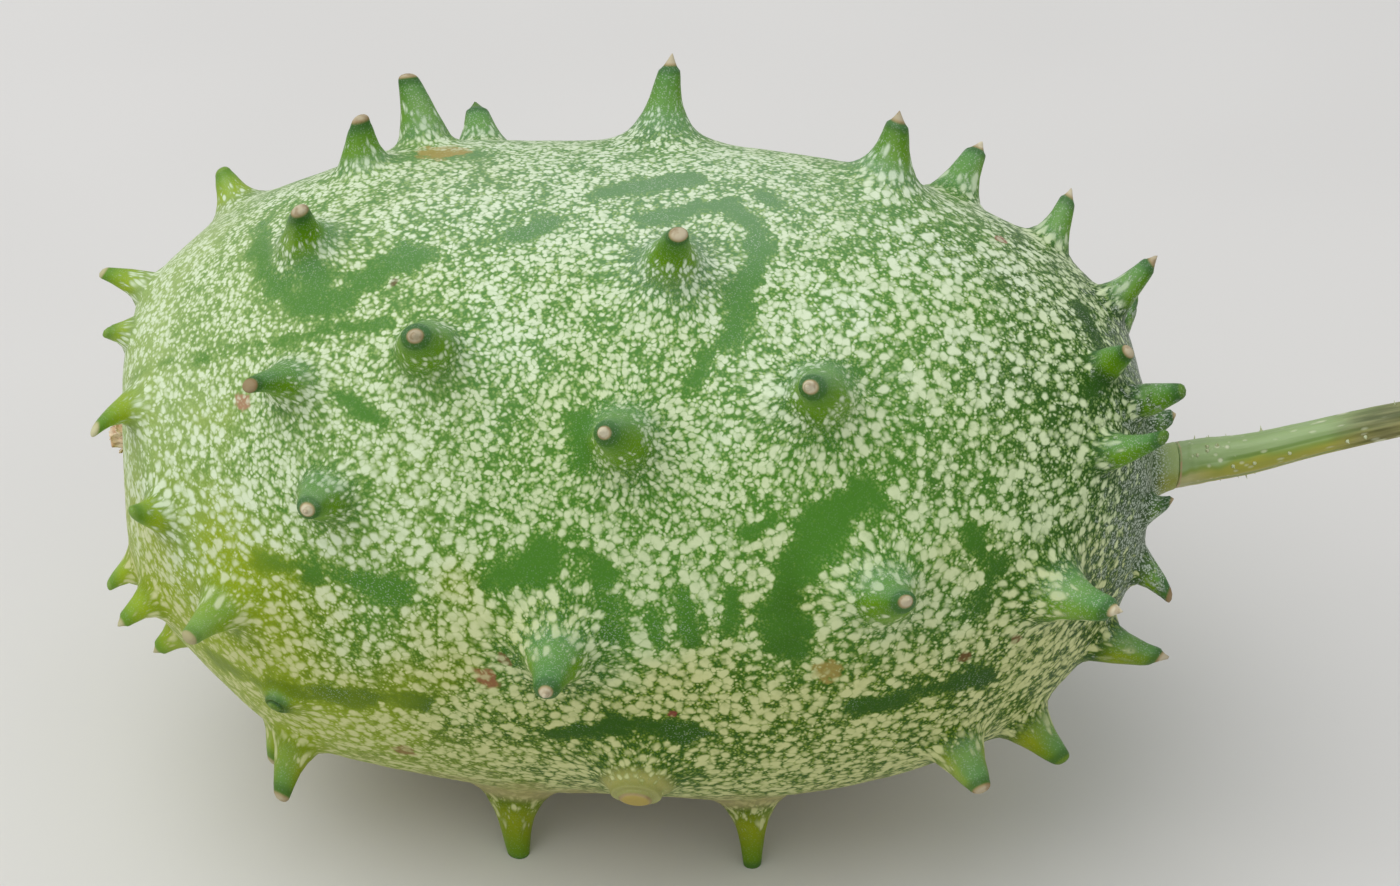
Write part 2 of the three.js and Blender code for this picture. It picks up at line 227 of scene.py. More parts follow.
def farHorns():
    shares = seededShares(horns["nudgeSeed"])
    nudges, rows, ends = horns["nudge"], horns["farRows"], horns["farEnds"]

    def nudged(value, key):
        return value + nudges[key] * (2 * next(shares) - 1)

    def nudgedHorn(along, around, height):
        place = [nudged(along, "along"), nudged(around, "round"), nudged(height, "height")]
        lean = [nudged(0, "lean"), nudged(0, "lean")]
        tip = sharp if next(shares) < 0.5 else blunt
        return (*place, *lean, tip, nudged(1, "thickness"))

    made = []
    for row in range(rows["count"]):
        along = -rows["reach"] + (row % 2) * rows["spacing"] / 2
        while along <= rows["reach"]:
            made.append(nudgedHorn(along, rows["first"] + row * rows["step"], rows["height"]))
            along += rows["spacing"]
    for along in ends["alongs"]:
        for around in ends["rounds"]:
            made.append(nudgedHorn(along, around, ends["height"]))
    return made


def hornProfile(foot, radius, height, tip):
    # rings as radius and height, foot to tip: a round cap on a blunt horn, a point on a sharp one
    wide = max(tip, 1)
    skirt = [
        (foot, 0),
        (0.66 * foot + 0.25 * radius, 0.03 * height),
        (0.36 * foot + 0.7 * radius, 0.1 * height),
        (0.14 * foot + 1.1 * radius, 0.23 * height),
        (0.02 * foot + 1.1 * radius, 0.44 * height),
        (0.86 * wide * radius, 0.72 * height),
    ]
    if tip == sharp:
        return skirt + [
            (0.78 * radius, 0.78 * height),
            (0.5 * radius, 0.835 * height),
            (0.22 * radius, 0.92 * height),
            (0, height),
        ]
    dome = 0.62 * wide * radius
    flat = 0.35 if tip == worn else 0.8
    return skirt + [
        (dome * 1.12, height - 1.25 * flat * dome),
        (dome * 0.93, height - 0.6 * flat * dome),
        (dome * 0.55, height - 0.15 * flat * dome),
        (0, height),
    ]


def tangents(direction):
    reference = np.array((0.0, 0, 1) if abs(direction[0]) > 0.999 else (1.0, 0, 0))
    stemward = unit(reference - direction * (reference @ direction))
    return stemward, np.cross(stemward, direction)


def makeSite(kind, direction, rings, shares, lean=(0, 0), tip=blunt, half=8.0):
    stemward, roundward = tangents(direction)
    reach = float(coreReach(direction))
    step = 1 / reach
    ways = [stemward, -stemward, roundward, -roundward]
    around = skinPoint(np.array([direction * math.cos(step) + way * math.sin(step) for way in ways]))
    normal = unit(np.cross(around[2] - around[3], around[0] - around[1]))
    return {
        "kind": kind, "direction": direction, "reach": reach, "normal": normal, "lean": lean,
        "stemward": stemward, "roundward": roundward, "foot": rings[0][0], "tall": rings[-1][1],
        "rings": np.array(rings, float), "shares": np.array(shares, float), "tip": tip, "half": half,
    }


def makeSites():
    flowerward = unit(np.array((-1, 0, -0.035)))
    stemEnd = makeSite("neck", np.array((1.0, 0, 0)), neck["rings"], neck["shares"], (neck["rise"], 0))
    flowerEnd = makeSite("seat", flowerward, seat["rings"], seat["shares"])
    sites = []
    for index, row in enumerate(hornRows):
        along, around, height, leanStemward, leanRound, tip, thickness = row
        direction = hornDirections[index]
        reach = float(coreReach(direction))
        angles = np.arccos(np.clip(hornDirections @ direction, -1, 1))
        gap = reach * np.delete(angles, index).min()
        limits = [horns["widestFoot"], horns["footShare"] * gap]
        for end in (stemEnd, flowerEnd):
            away = reach * math.acos(np.clip(end["direction"] @ direction, -1, 1))
            limits.append(away - horns["footClearance"] * end["foot"])
        radius = horns["radius"] * thickness
        rings = hornProfile(min(limits), radius, height, tip)
        lean = (leanStemward, leanRound)
        sites.append(makeSite("horn", direction, rings, horns["ringShares"], lean, tip, gap / 2))
    return sites + [stemEnd, flowerEnd]


def smoothCurve(xs, ys, x, lastSlope):
    # a cubic through the points that never overshoots them, with a set slope at the last one
    order = np.argsort(xs)
    xs, ys = np.array(xs, float)[order], np.array(ys, float)[order]
    gaps = np.diff(xs)
    rates = np.diff(ys) / gaps
    slopes = np.zeros(len(xs))
    slopes[0], slopes[-1] = rates[0], lastSlope
    for i in range(1, len(xs) - 1):
        if rates[i - 1] * rates[i] > 0:
            slopes[i] = 2 * rates[i - 1] * rates[i] / (rates[i - 1] + rates[i])
    part = np.clip(np.searchsorted(xs, x) - 1, 0, len(gaps) - 1)
    t = (x - xs[part]) / gaps[part]
    start = ys[part] * (1 + 2 * t) * (1 - t) ** 2 + slopes[part] * gaps[part] * t * (1 - t) ** 2
    end = ys[part + 1] * t * t * (3 - 2 * t) + slopes[part + 1] * gaps[part] * t * t * (t - 1)
    return start + end


def smoothStep(low, high, value):
    t = np.clip((value - low) / (high - low), 0, 1)
    return t * t * (3 - 2 * t)


fruitOrigin = Vector((-17.04, 1.12, body["floorDrop"])) * mm
hornRows = horns["front"] + horns["resting"] + horns["under"] + farHorns()
hornDirections = np.array([skinDirection(row[0], row[1]) for row in hornRows])
sites = makeSites()
addCamera()
print("horns placed:", len(hornRows))


# one soft panel under a pale sky, in metres
light = {
    "skyStrength": 0.6,
    "sky": (0.95, 0.97, 1.0),
    "panelPower": 11.5,
    "panelSize": 1.6,
    "panelPlace": (-0.5, -0.3, 1.35),
    "panelColour": (1.0, 0.99, 0.975),
}


def addLights():
    world = bpy.data.worlds.new("softSky")
    world.use_nodes = True
    backdrop = world.node_tree.nodes["Background"]
    backdrop.inputs["Color"].default_value = (*light["sky"], 1)
    backdrop.inputs["Strength"].default_value = light["skyStrength"]
    bpy.context.scene.world = world
    data = bpy.data.lights.new("softPanel", "AREA")
    data.shape = "DISK"
    data.size = light["panelSize"]
    data.energy = light["panelPower"]
    data.color = light["panelColour"]
    panel = bpy.data.objects.new("softPanel", data)
    panel.location = light["panelPlace"]
    panel.rotation_euler = (-Vector(light["panelPlace"])).to_track_quat("-Z", "Y").to_euler()
    bpy.context.scene.collection.objects.link(panel)
    bpy.context.scene.view_settings.view_transform = "Standard"


def tone(red, green, blue):
    # a screen colour, 0 to 255, as the renderer's linear colour
    linear = [((c / 255 + 0.055) / 1.055) ** 2.4 if c > 10 else c / 3295 for c in (red, green, blue)]
    return (*linear, 1)


def addNode(tree, kind, inputs=None, **settings):
    made = tree.nodes.new(kind)
    for key, value in settings.items():
        setattr(made, key, value)
    for key, value in (inputs or {}).items():
        if isinstance(value, bpy.types.NodeSocket):
            tree.links.new(value, made.inputs[key])
        else:
            made.inputs[key].default_value = value
    return made


def treeOf(values):
    # new nodes go into the tree that their inputs come from
    return next(value.id_data for value in values if isinstance(value, bpy.types.NodeSocket))


def calc(operation, *values, clamp=False):
    inputs = dict(enumerate(values))
    made = addNode(treeOf(values), "ShaderNodeMath", inputs, operation=operation, use_clamp=clamp)
    return made.outputs[0]


def times(first, second, clamp=False):
    return calc("MULTIPLY", first, second, clamp=clamp)


def scaled(value, scale, plus, clamp=False):
    # value times scale, plus the last
    return calc("MULTIPLY_ADD", value, scale, plus, clamp=clamp)


def blend(share, first, second):
    inputs = {0: share, 6: first, 7: second}  # 6 and 7 are a mix node's two colours
    return addNode(share.id_data, "ShaderNodeMix", inputs, data_type="RGBA").outputs[2]


def ramp(value, low, high, lowTo=0.0, highTo=1.0):
    inputs = {"Value": value, "From Min": low, "From Max": high, "To Min": lowTo, "To Max": highTo}
    return addNode(value.id_data, "ShaderNodeMapRange", inputs, interpolation_type="SMOOTHSTEP").outputs[0]


def cloud(vector, scale, detail=2.0):
    inputs = {"Vector": vector, "Scale": scale, "Detail": detail}
    return addNode(vector.id_data, "ShaderNodeTexNoise", inputs).outputs[0]


def stretched(vector, share):
    # squeezes the pattern's first axis, so that its marks lengthen along it
    inputs = {"Vector": vector, "Scale": (share, 1.0, 1.0)}
    return addNode(vector.id_data, "ShaderNodeMapping", inputs).outputs[0]


def vectorMath(operation, *values):
    made = addNode(treeOf(values), "ShaderNodeVectorMath", dict(enumerate(values)), operation=operation)
    return made.outputs["Value" if operation == "DISTANCE" else "Vector"]


def parts(vector):
    return addNode(vector.id_data, "ShaderNodeSeparateXYZ", {0: vector}).outputs


def attribute(tree, name, output="Fac"):
    return addNode(tree, "ShaderNodeAttribute", attribute_name=name).outputs[output]


def objectPlace(tree):
    return addNode(tree, "ShaderNodeTexCoord").outputs["Object"]


def useGroup(group, **inputs):
    return addNode(treeOf(inputs.values()), "ShaderNodeGroup", inputs, node_tree=group).outputs


def newGroup(name, outputs, **inputs):
    # an input given as None takes a place; the others take numbers
    group = bpy.data.node_groups.new(name, "ShaderNodeTree")
    for socketName, value in inputs.items():
        kind = "NodeSocketVector" if value is None else "NodeSocketFloat"
        socket = group.interface.new_socket(socketName, in_out="INPUT", socket_type=kind)
        if value is not None:
            socket.default_value = value
    for socketName in outputs:
        group.interface.new_socket(socketName, in_out="OUTPUT", socket_type="NodeSocketFloat")
    return group, addNode(group, "NodeGroupInput").outputs, addNode(group, "NodeGroupOutput").inputs


def makeFleckGroup():
    # soft round flecks, one to a cell, that run together where they are large, each in a wider halo
    group, given, out = newGroup(
        "fleckPattern", ["Mask", "Halo"], Place=None, Cells=800.0, Size=0.4, Share=1.0, Edge=0.12
    )
    cells = addNode(group, "ShaderNodeTexVoronoi", {"Vector": given["Place"], "Scale": given["Cells"]})
    chance = addNode(group, "ShaderNodeSeparateColor", {0: cells.outputs["Color"]})
    kept = calc("LESS_THAN", chance.outputs[1], given["Share"])
    inner = calc("SUBTRACT", given["Size"], given["Edge"])
    outer = calc("ADD", given["Size"], given["Edge"])
    disc = ramp(cells.outputs["Distance"], inner, outer, 1.0, 0.0)
    group.links.new(times(disc, kept), out["Mask"])
    rim = calc("ADD", outer, 0.22)
    group.links.new(ramp(cells.outputs["Distance"], inner, rim, 1.0, 0.0), out["Halo"])
    return group


def makeSpotGroup():
    # one mark round a centre, its edge made ragged by a noise that all the marks share
    group, given, out = newGroup(
        "skinSpot", ["Mask"], Place=None, Centre=None, Radius=0.001, Rough=0.5, Ragged=0.5
    )
    share = calc("DIVIDE", vectorMath("DISTANCE", given["Place"], given["Centre"]), given["Radius"])
    rough = calc("SUBTRACT", given["Rough"], 0.5)
    share = scaled(rough, times(given["Ragged"], 3.0), share)
    group.links.new(ramp(share, 0.7, 1.1, 1.0, 0.0), out["Mask"])
    return group


def makeDryGroup():
    # dry streaks along a stem, petal or hair, and the relief that goes with them
    group, given, out = newGroup("dryStreaks", ["Streak", "Relief"], Place=None, Scale=900.0)
    coarse = cloud(given["Place"], given["Scale"], 4.0)
    grain = cloud(given["Place"], times(given["Scale"], 3.3))
    group.links.new(ramp(coarse, 0.35, 0.65), out["Streak"])
    group.links.new(scaled(grain, 0.4, coarse), out["Relief"])
    return group


def newMaterial(name, inputs=None):
    material = bpy.data.materials.new(name)
    material.use_nodes = True
    shader = material.node_tree.nodes["Principled BSDF"]
    for key, value in (inputs or {}).items():
        shader.inputs[key].default_value = value
    return material, material.node_tree


def finishMaterial(material, colour, roughness, height, depth):
    tree = material.node_tree
    shader = tree.nodes["Principled BSDF"]
    bump = addNode(tree, "ShaderNodeBump", {"Height": height, "Strength": 1.0, "Distance": depth})
    tree.links.new(colour, shader.inputs["Base Color"])
    tree.links.new(roughness, shader.inputs["Roughness"])
    tree.links.new(bump.outputs[0], shader.inputs["Normal"])
    return material


fleckGroup = makeFleckGroup()
spotGroup = makeSpotGroup()
dryGroup = makeDryGroup()


skin = {
    "sphereSteps": 7,
    "finerWithin": (0.62, 0.3, 0.15),  # shares of a foot inside which the mesh is split again
    "dentHeight": 0.14,
    "dentScale": 9.0,
    "streakReach": 11.5,
    "streakLength": 1.35,
    "hornStreak": 2.4,
    "hornRuck": 0.07,
    "hornTop": 2.4,  # nearer to a horn's middle than this, flecks take hornStreak
    "capShare": 0.17,  # the most of a horn's height that its cap takes
    "tipShade": {"lucky": 0.45, "brown": 0.85, "green": 1, "worn": -1},
    "shadeSeed": 5,
    # small plain patches where the front doesn't reach: length, size, fray and how far they open
    "farPatch": {"stretch": 0.55, "scale": 6.5, "fray": 0.13, "opens": (0.38, 0.7), "share": 0.85},
    "frayScales": (3.0, 1.3),
    # plain green bands between the flecks: half width, then points as along, round
    "plainBands": [
        (1.2, [(-44, 3), (-43.3, 12), (-42.4, 19), (-40, 24.5), (-29, 22.3), (-24, 17.5)]),
        (1.8, [(-40, 24.5), (-37.3, 27), (-33.7, 27.5), (-31.4, 25.2), (-29, 22.3), (-26, 19)]),
        (1.4, [(0.5, 7.3), (4.7, 4.8), (8.9, 2.5), (12.3, 8.2), (13.4, 14.8), (12.4, 21.2), (10.5, 30.5)]),
        (2.35, [(26, 57), (21.5, 63), (18.5, 70), (17.5, 77), (18.5, 84)]),
        (1.6, [(27, 99), (34, 98.5), (40, 99.5)]),
        (1.3, [(37.5, 63), (40, 72), (39, 81)]),
        (1.5, [(-7, 105), (-1, 101), (4.5, 102.5), (9, 103.5)]),
        (2.0, [(-12.5, 72.5), (-8, 69.5)]),
        (1.2, [(-5.3, 47), (-4.5, 55)]),
        (1.1, [(-30.5, 45), (-26, 48.5)]),
        (0.7, [(-57, 39.2), (-48, 37.1), (-40.7, 35.2), (-32, 32.8), (-27, 32)]),
        (1.3, [(-14, 12.5), (-11, 9.5)]),
        (1.9, [(-5.6, -0.4), (-1.3, -1.8), (3.6, -4.4)]),
        (1.0, [(12.4, -0.5), (15, 1)]),
        (1.0, [(10.5, 30.5), (8.5, 36), (7, 40)]),
        (1.4, [(-40.5, 76.5), (-35, 75.3), (-30, 76), (-24.5, 77.5)]),
        (1.5, [(-47, 112.5), (-36.5, 104.5), (-22, 100)]),
        (1.2, [(48.5, 2.5), (50, 12.5), (49, 30)]),
        (1.1, [(-2.2, 69), (-0.6, 75.5), (0.5, 82.5)]),
        (0.9, [(6.6, 74.1), (7.8, 79.3), (8.9, 83.8)]),
        (0.7, [(3.5, 78.7), (4.6, 84)]),
        (0.8, [(12.5, 74.7), (11.8, 81.8)]),
        (1.0, [(13, 64), (16.4, 61.4)]),
        (0.8, [(-7.6, 67.5), (-2, 69)]),
    ],
    "scarRagged": 0.55,
    # scars: along, round, radius, screen colour
    "scars": [
        (-42.3, 46.5, 1.1, (186, 128, 112)),
        (-26.7, 23.6, 0.55, (105, 72, 60)),
        (5.8, 98.6, 0.6, (140, 52, 56)),
        (3.2, 20.3, 0.5, (130, 80, 60)),
        (-14.6, 92.3, 1.5, (160, 96, 72)),
        (-12.2, 87.2, 1.0, (120, 84, 52)),
        (22.8, 89.3, 1.6, (170, 146, 78)),
        (37.8, 91.9, 0.8, (112, 70, 44)),
        (43.2, 92, 0.7, (118, 78, 50)),
        (39.5, -10.6, 0.9, (158, 84, 78)),
        (-25.3, -16.3, 3.0, (182, 154, 84)),
        (-25.7, 118.6, 1.5, (140, 100, 60)),
        (-8, 262, 1.6, (150, 110, 66)),
        (20, 238, 1.0, (138, 84, 62)),
    ],
}


def siteGaps(directions):
    reaches = np.array([site["reach"] for site in sites])
    siteWays = np.array([site["direction"] for site in sites])
    return np.arccos(np.clip(directions @ siteWays.T, -1, 1)) * reaches


def bandDistance(points, band):
    corners = [skinDirection(*place) for place in band]
    corners = [corner * float(coreReach(corner)) for corner in corners]
    nearest = np.full(len(points), 1e9)
    for start, end in zip(corners, corners[1:]):
        run = end - start
        share = np.clip((points - start) @ run / (run @ run), 0, 1)
        nearest = np.minimum(nearest, np.linalg.norm(points - start - share[:, None] * run, axis=1))
    return nearest


def meshFrom(shape, name):
    mesh = bpy.data.meshes.new(name)
    shape.to_mesh(mesh)
    shape.free()
    return mesh


def ballOfSkin():
    ball = bmesh.new()
    bmesh.ops.create_icosphere(ball, subdivisions=skin["sphereSteps"], radius=1)
    feet = np.array([site["foot"] for site in sites])
    for share in skin["finerWithin"]:
        places = unit(np.array([vert.co for vert in ball.verts]))
        inside = (siteGaps(places) / feet).min(axis=1) < share
        chosen = [edge for edge in ball.edges if all(inside[vert.index] for vert in edge.verts)]
        bmesh.ops.subdivide_edges(ball, edges=chosen, cuts=1, use_grid_fill=True)
        ball.verts.index_update()
    bmesh.ops.triangulate(ball, faces=ball.faces)
    return meshFrom(ball, "fruitSkin")


def readPoints(mesh):
    places = np.empty(len(mesh.vertices) * 3)
    mesh.vertices.foreach_get("co", places)
    return places.reshape(-1, 3)


def writePoints(mesh, points):
    mesh.vertices.foreach_set("co", np.ravel(points))
    mesh.update()


def writeAttribute(mesh, name, values):
    isVector = values.ndim == 2
    made = mesh.attributes.new(name, "FLOAT_VECTOR" if isVector else "FLOAT", "POINT")
    made.data.foreach_set("vector" if isVector else "value", np.ravel(values).astype(np.float32))


def perlin(points, scale):
    return np.array([noise.noise(Vector(point) / scale) for point in points])


def wobble(*place):
    return noise.noise(Vector(place))


def roundRod(sides, cuts, **settings):
    # radius and height 1, with its sides cut across
    rod = bmesh.new()
    bmesh.ops.create_cone(rod, cap_ends=True, segments=sides, radius1=1, radius2=1, depth=1, **settings)
    lengthwise = [edge for edge in rod.edges if abs(edge.verts[0].co.z - edge.verts[1].co.z) > 0.5]
    bmesh.ops.subdivide_edges(rod, edges=lengthwise, cuts=cuts, use_grid_fill=True)
    return rod


def addPiece(name, mesh, material, nodes):
    piece = bpy.data.objects.new(name, mesh)
    bpy.context.scene.collection.objects.link(piece)
    mesh.materials.append(material)
    mesh.shade_smooth()
    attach(piece, "root")
    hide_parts(*nodes)
    return piece


def raiseSite(site, directions, share):
    # moves the directions inside one foot on to its horn, neck or seat
    sideways = directions @ site["stemward"]
    roundways = directions @ site["roundward"]
    turn = np.arctan2(roundways, sideways)[:, None]
    radius = smoothCurve(site["shares"], site["rings"][:, 0], share, site["foot"])
    height = smoothCurve(site["shares"], site["rings"][:, 1], share, 0)
    if site["kind"] == "horn":
        ruck = np.sin(5 * turn[:, 0] + 9 * site["reach"]) + 0.6 * np.sin(9 * turn[:, 0] + 3 * height)
        radius = radius * (1 + skin["hornRuck"] * ruck * share * (1 - share))
    ways = site["stemward"] * np.cos(turn) + site["roundward"] * np.sin(turn)
    angle = (radius / site["reach"])[:, None]
    points = skinPoint(site["direction"] * np.cos(angle) + ways * np.sin(angle))
    bend = (height / site["tall"])[:, None] ** horns["leanCurve"]
    lean = site["stemward"] * site["lean"][0] + site["roundward"] * site["lean"][1]
    return points + site["normal"] * height[:, None] + bend * lean, height


def flowRadius(site, away, reach):
    # how far from a horn's middle the fleck pattern is read, so that flecks lengthen up the horn
    steps = np.linspace(0, reach, 300)
    share = np.minimum(steps / site["foot"], 1)
    radius = smoothCurve(site["shares"], site["rings"][:, 0], share, site["foot"])
    radius = np.where(steps < site["foot"], radius, steps)
    height = smoothCurve(site["shares"], site["rings"][:, 1], share, 0)
    middle = (radius[1:] + radius[:-1]) / 2
    run = np.hypot(np.diff(radius), np.diff(height))
    lengthen = 1 + (skin["streakLength"] - 1) * smoothStep(reach, 0.6 * reach, steps[1:])
    lengthen = np.where(middle < skin["hornTop"], skin["hornStreak"], lengthen)
    shrink = np.cumsum((run / (lengthen * middle))[::-1])[::-1]
    scale = reach * np.exp(-np.append(shrink, 0))
    return np.interp(away, steps, scale)


def tipShade(index, site, luck):
    shades = skin["tipShade"]
    if site["tip"] == worn:
        return shades["worn"]
    if index in horns["brownTips"]:
        return shades["brown"]
    return shades["green"] if index in horns["greenTips"] else shades["lucky"] * luck


def plainShare(core):
    # how plain each point is, from 0 where the flecks are whole to 1 on a plain band
    coarse, fine = skin["frayScales"]
    fray = perlin(core + 70, coarse) + 0.6 * perlin(core + 90, fine)
    far = skin["farPatch"]
    patchy = perlin(core * np.array([far["stretch"], 1, 1]) + 40, far["scale"]) + far["fray"] * fray
    unseen = smoothStep(0, 14, np.maximum(core[:, 1], -core[:, 2] - 22))
    plain = far["share"] * smoothStep(*far["opens"], patchy) * unseen
    for halfWidth, band in skin["plainBands"]:
        off = bandDistance(core, band) + min(1.5, 1.1 * halfWidth) * fray
        plain = np.maximum(plain, smoothStep(halfWidth + 0.5, halfWidth - 0.8, off))
    return plain


def makeFruit(material):
    mesh = ballOfSkin()
    directions = unit(readPoints(mesh))
    gaps = siteGaps(directions)
    feet = np.array([site["foot"] for site in sites])
    nearest = (gaps / feet).argmin(axis=1)
    share = (gaps / feet).min(axis=1)
    core = directions * coreReach(directions)[:, None]
    points = skinPoint(directions)
    flow = core.copy()
    made = {name: np.zeros(len(core)) for name in ("rise", "hornShade", "near", "neckRise")}
    made["capCover"] = np.full(len(core), -20.0)
    luck = random.Random(skin["shadeSeed"])
    for index, site in enumerate(sites):
        reach = min(skin["streakReach"], site["half"])
        away = gaps[:, index]
        rows = np.flatnonzero(away < reach)
        middle = site["direction"] * site["reach"]
        stretch = flowRadius(site, away[rows], reach) / np.maximum(away[rows], 0.02)
        flow[rows] = middle + (core[rows] - middle) * stretch[:, None]
        made["near"][rows] = smoothStep(0.85, 0.25, away[rows] / reach)
        rows = np.flatnonzero((nearest == index) & (share < 1))
        points[rows], height = raiseSite(site, directions[rows], share[rows])
        made["hornShade"][rows] = tipShade(index, site, luck.random())
        if site["kind"] == "neck":
            made["neckRise"][rows] = height / site["tall"]
        if site["kind"] == "horn":
            made["rise"][rows] = height / site["tall"]
            capLength = min(horns["capLength"][site["tip"]], skin["capShare"] * site["tall"])
            made["capCover"][rows] = capLength - (site["tall"] - height)
    dents = perlin(core, skin["dentScale"]) + 0.5 * perlin(core, skin["dentScale"] / 3)
    points += directions * (skin["dentHeight"] * dents * (share > 0.5))[:, None]
    points[:, 2] = np.maximum(points[:, 2], -body["floorDrop"])
    writePoints(mesh, points * mm + np.array(fruitOrigin))
    normals = np.empty(len(core) * 3)
    mesh.vertices.foreach_get("normal", normals)
    # painted sheen: a horn's side is paler where it faces up to the sky, with some bloom
    haze = smoothStep(0.1, 0.85, normals[2::3]) * smoothStep(0.02, 0.25, made["rise"])
    made["haze"] = haze * smoothStep(1, 0.7, made["rise"]) * (made["hornShade"] > -0.5)
    made["bare"] = plainShare(core)
    writeAttribute(mesh, "flow", flow * mm)
    for name, values in made.items():
        writeAttribute(mesh, name, values)
    print("fruit skin:", len(mesh.polygons), "triangles")
    return addPiece("fruitSkin", mesh, material, ["fruit"])


skinLook = {
    # painted sheen along the top of the fruit
    "crestSheen": (150, 176, 150),
    "plainTop": (92, 142, 72),
    "plainMid": (76, 130, 40),
    "plainLow": (48, 90, 4),
    "warmTop": (128, 168, 80),
    "warmMid": (98, 144, 38),
    "warmLow": (100, 132, 14),
    "leftTop": (172, 194, 122),
    "leftLow": (158, 178, 22),
    # painted shade on the stalk's end of the fruit
    "stemSideShade": (28, 62, 4),
    "footShade": (44, 88, 18),
    "fleckTop": (228, 242, 212),
    "fleckMid": (212, 226, 178),
    "fleckLow": (208, 212, 148),
    "tinyFleck": (172, 200, 118),
    "tinyLow": (150, 172, 60),
    "hornFoot": (104, 150, 14),
    "hornTop": (74, 124, 34),
    "hornLow": (142, 156, 20),
    "hornTipLow": (92, 132, 20),
    "hornLeft": (156, 180, 34),
    "hornTipLeft": (112, 156, 44),
    # the colour of the painted sheen on upward-facing horn sides
    "haze": (118, 166, 136),
    "dust": (196, 208, 190),
    "stemFuzz": (72, 92, 58),
    "neckTop": (156, 174, 114),
    "neckLow": (150, 156, 72),
    "ring": (46, 82, 50),
    "cap": (222, 214, 184),
    "capShadedEdge": (186, 166, 122),
    "capDark": (136, 110, 74),
    "capLeft": (198, 200, 150),
    "wornFace": (178, 160, 88),
    "belly": (190, 178, 124),
}


# in metres, where each begins and is full: heights above the floor, then places along the fruit
skinZones = {
    "mid": (0.036, 0.057),
    "top": (0.062, 0.083),
    "crestSheen": (0.0765, 0.082),
    "lowDown": (0.046, 0.024),
    "underside": (0.021, 0.009),
    "left": (-0.022, -0.056),
    "right": (0.006, 0.042),
    "flowerEnd": (-0.054, -0.067),
}

# the scales of the skin's noises, and how far in metres the soft patches move the zones
skinNoise = {"patches": 85.0, "wander": 0.03, "thick": 260.0, "rough": 900.0, "relief": 1000.0}

# the dark fuzzy skin round the neck, from the fruit's middle
stemPatch = {"centre": (58, 0, 4.5), "radius": 18, "ragged": 0.6}

skinFlecks = {
    # cells in a metre, growth, shift, which part of the shake swings the size, which share grows it
    "layers": (
        (840.0, 0.65, 0.17, 2, "coarse"),
        (1260.0, 0.6, 0.0, 0, "fine"),
        (1640.0, 0.56, 0.31, 1, "fine"),
    ),
    "smallest": -0.14,
    "swing": 0.5,
    "edge": 0.17,
    "shake": 0.0008,
    "shakeScale": 900.0,
    "tiny": {"Cells": 2900.0, "Size": 0.42, "Share": 0.75, "Edge": 0.2},
    "dust": {"Cells": 4600.0, "Size": 0.36, "Share": 0.6, "Edge": 0.18},
}


def skinSpot(at, centre, radius, ragged):
    inputs = {"Centre": centre, "Radius": radius * mm, "Rough": at.rough, "Ragged": ragged}
    return useGroup(spotGroup, Place=at.place, **inputs)["Mask"]


def skinPlaces(tree):
    # masks over the skin by height and side, whose edges wander with large soft patches
    at = SimpleNamespace(flow=attribute(tree, "flow", "Vector"), place=objectPlace(tree))
    for name in ("rise", "hornShade", "near", "neckRise", "capCover", "haze", "bare"):
        setattr(at, name, attribute(tree, name))
    sides = parts(at.place)
    at.height = sides[2]
    at.patches = calc("SUBTRACT", cloud(at.flow, skinNoise["patches"]), 0.5)
    at.level = scaled(at.patches, skinNoise["wander"], at.height)
    at.across = scaled(at.patches, skinNoise["wander"], sides[0])
    at.isMid = ramp(at.level, *skinZones["mid"])
    at.isTop = ramp(at.level, *skinZones["top"])
    at.isLeft = ramp(at.across, *skinZones["left"])
    stalkward = ramp(at.across, *skinZones["right"])
    at.isRight = times(stalkward, ramp(at.level, 0.03, 0.048, 0.5, 0.9))
    at.lowDown = ramp(at.height, *skinZones["lowDown"])
    at.endSide = ramp(sides[0], *skinZones["flowerEnd"])
    at.offEnd = scaled(at.endSide, -0.7, 1.0)
    at.thick = cloud(at.flow, skinNoise["thick"], 1.0)
    at.rough = cloud(at.place, skinNoise["rough"])
    at.isWorn = calc("LESS_THAN", at.hornShade, -0.5)
    stemCentre = Vector(stemPatch["centre"]) * mm + fruitOrigin
    at.stemEnd = skinSpot(at, stemCentre, stemPatch["radius"], stemPatch["ragged"])
    return at


def skinGreens(at, look):
    # two greens: a deep one for plain skin, and a yellower one round the flecks
    plain = blend(at.isTop, blend(at.isMid, look["plainLow"], look["plainMid"]), look["plainTop"])
    warm = blend(at.isTop, blend(at.isMid, look["warmLow"], look["warmMid"]), look["warmTop"])
    leftTone = blend(ramp(at.level, 0.045, 0.066), look["leftLow"], look["leftTop"])
    leftPlain = times(at.isLeft, ramp(at.level, 0.03, 0.05, 0.75, 0.1))
    byHeight = ramp(at.level, 0.062, 0.05, 0.35, 0.8)
    farLeft = times(ramp(at.across, -0.05, -0.064), byHeight)
    farLeft = calc("MAXIMUM", farLeft, ramp(at.across, -0.058, -0.07, 0.0, 0.75))
    leftPlain = calc("MAXIMUM", leftPlain, farLeft)
    deeper = times(at.bare, ramp(at.level, 0.045, 0.07, -0.4, -0.8))
    leftPlain = times(leftPlain, calc("ADD", deeper, 1.0))
    plain = blend(leftPlain, plain, leftTone)
    warm = blend(times(at.isLeft, 0.95), warm, leftTone)
    # painted shade: the stalk's end of the fruit is darker, turned away from the light
    plain = blend(at.isRight, plain, look["stemSideShade"])
    warm = blend(times(at.isRight, 0.8), warm, look["stemSideShade"])
    return plain, warm


